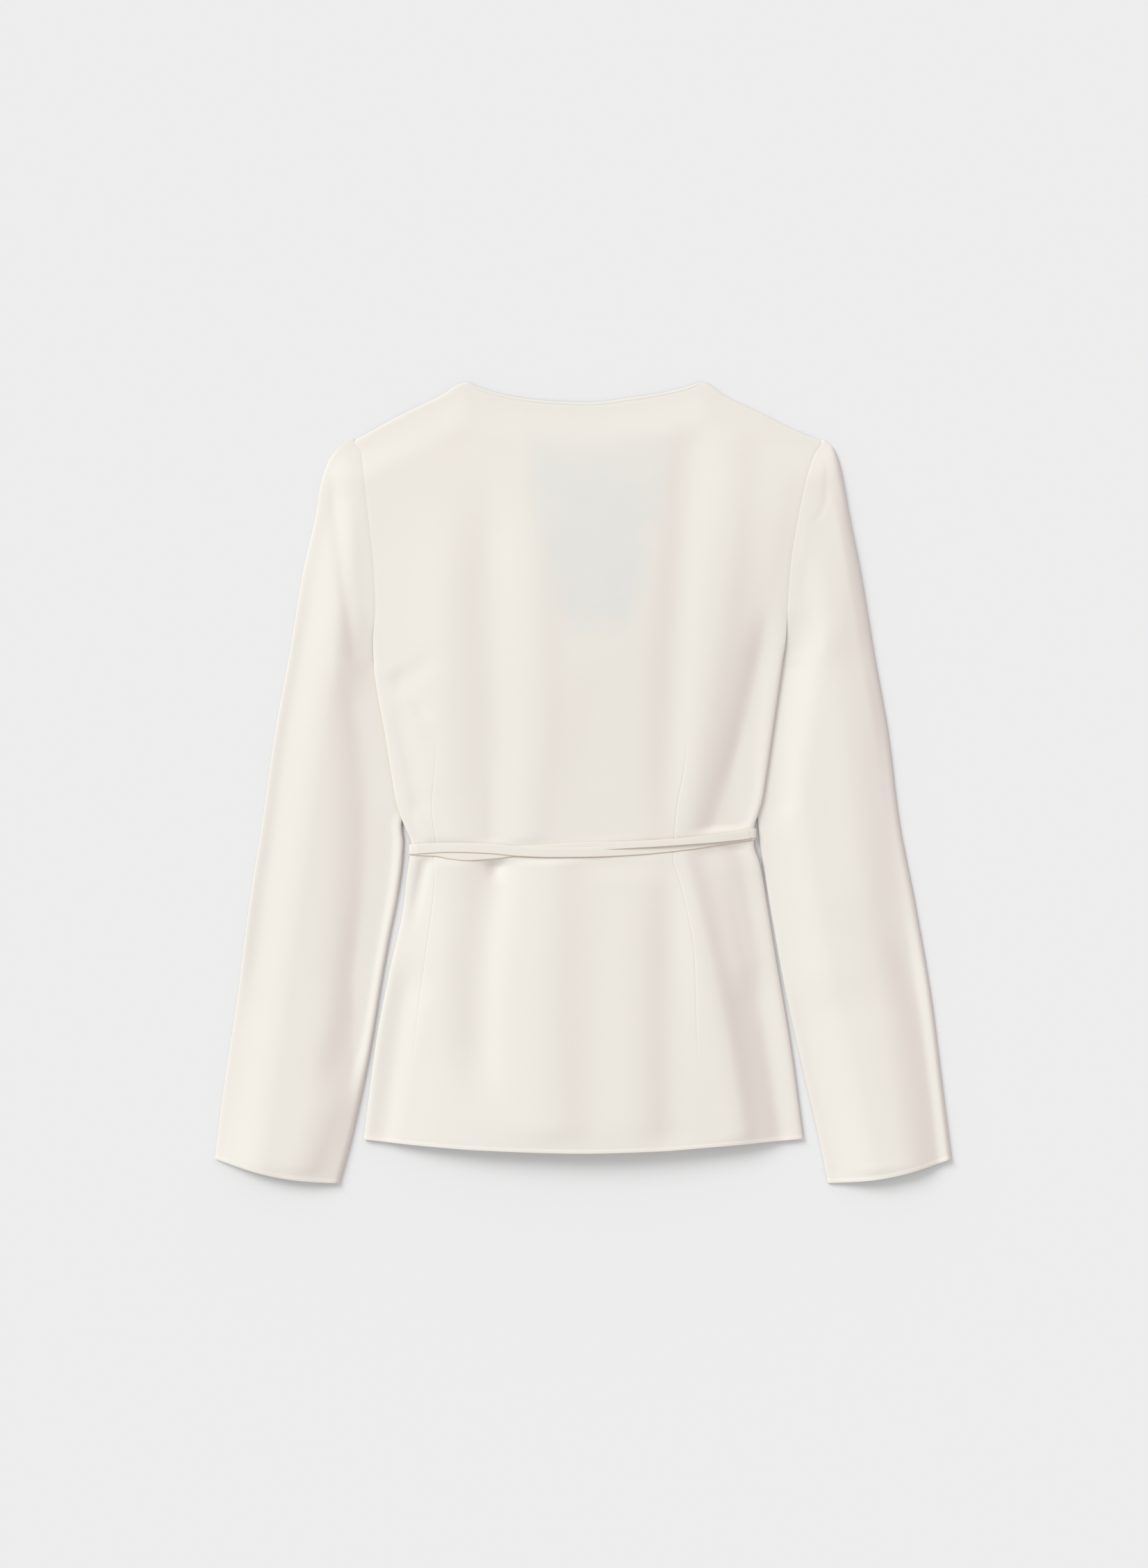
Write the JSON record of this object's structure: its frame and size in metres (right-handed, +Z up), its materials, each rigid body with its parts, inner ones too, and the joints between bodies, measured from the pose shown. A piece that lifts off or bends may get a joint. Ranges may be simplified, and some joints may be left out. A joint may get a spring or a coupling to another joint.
{
  "type": "blouse",
  "caption": "Long-sleeved wrap blouse in ivory satin crepe, laid flat face down, with its narrow tie wound round the waist and the hem flared below it.",
  "frame": {"origin": "on the surface the blouse lies on, under the middle of the laid garment", "axes": "+Z up from the surface, +Y towards the neck, +X to the right as seen from above"},
  "size_m": [0.5956, 0.6471, 0.019],
  "materials": {
    "satin_crepe": "soft satin, faint crepe grain",
    "tie_crepe": "soft satin, faint crepe grain"
  },
  "bodies": {
    "root": {"back_panel": "satin_crepe", "front_left": "satin_crepe", "front_right": "satin_crepe", "sleeve_left": "satin_crepe", "sleeve_right": "satin_crepe", "tie_upper": "tie_crepe", "tie_lower": "tie_crepe", "tie_front": "tie_crepe"}
  },
  "joints": []
}
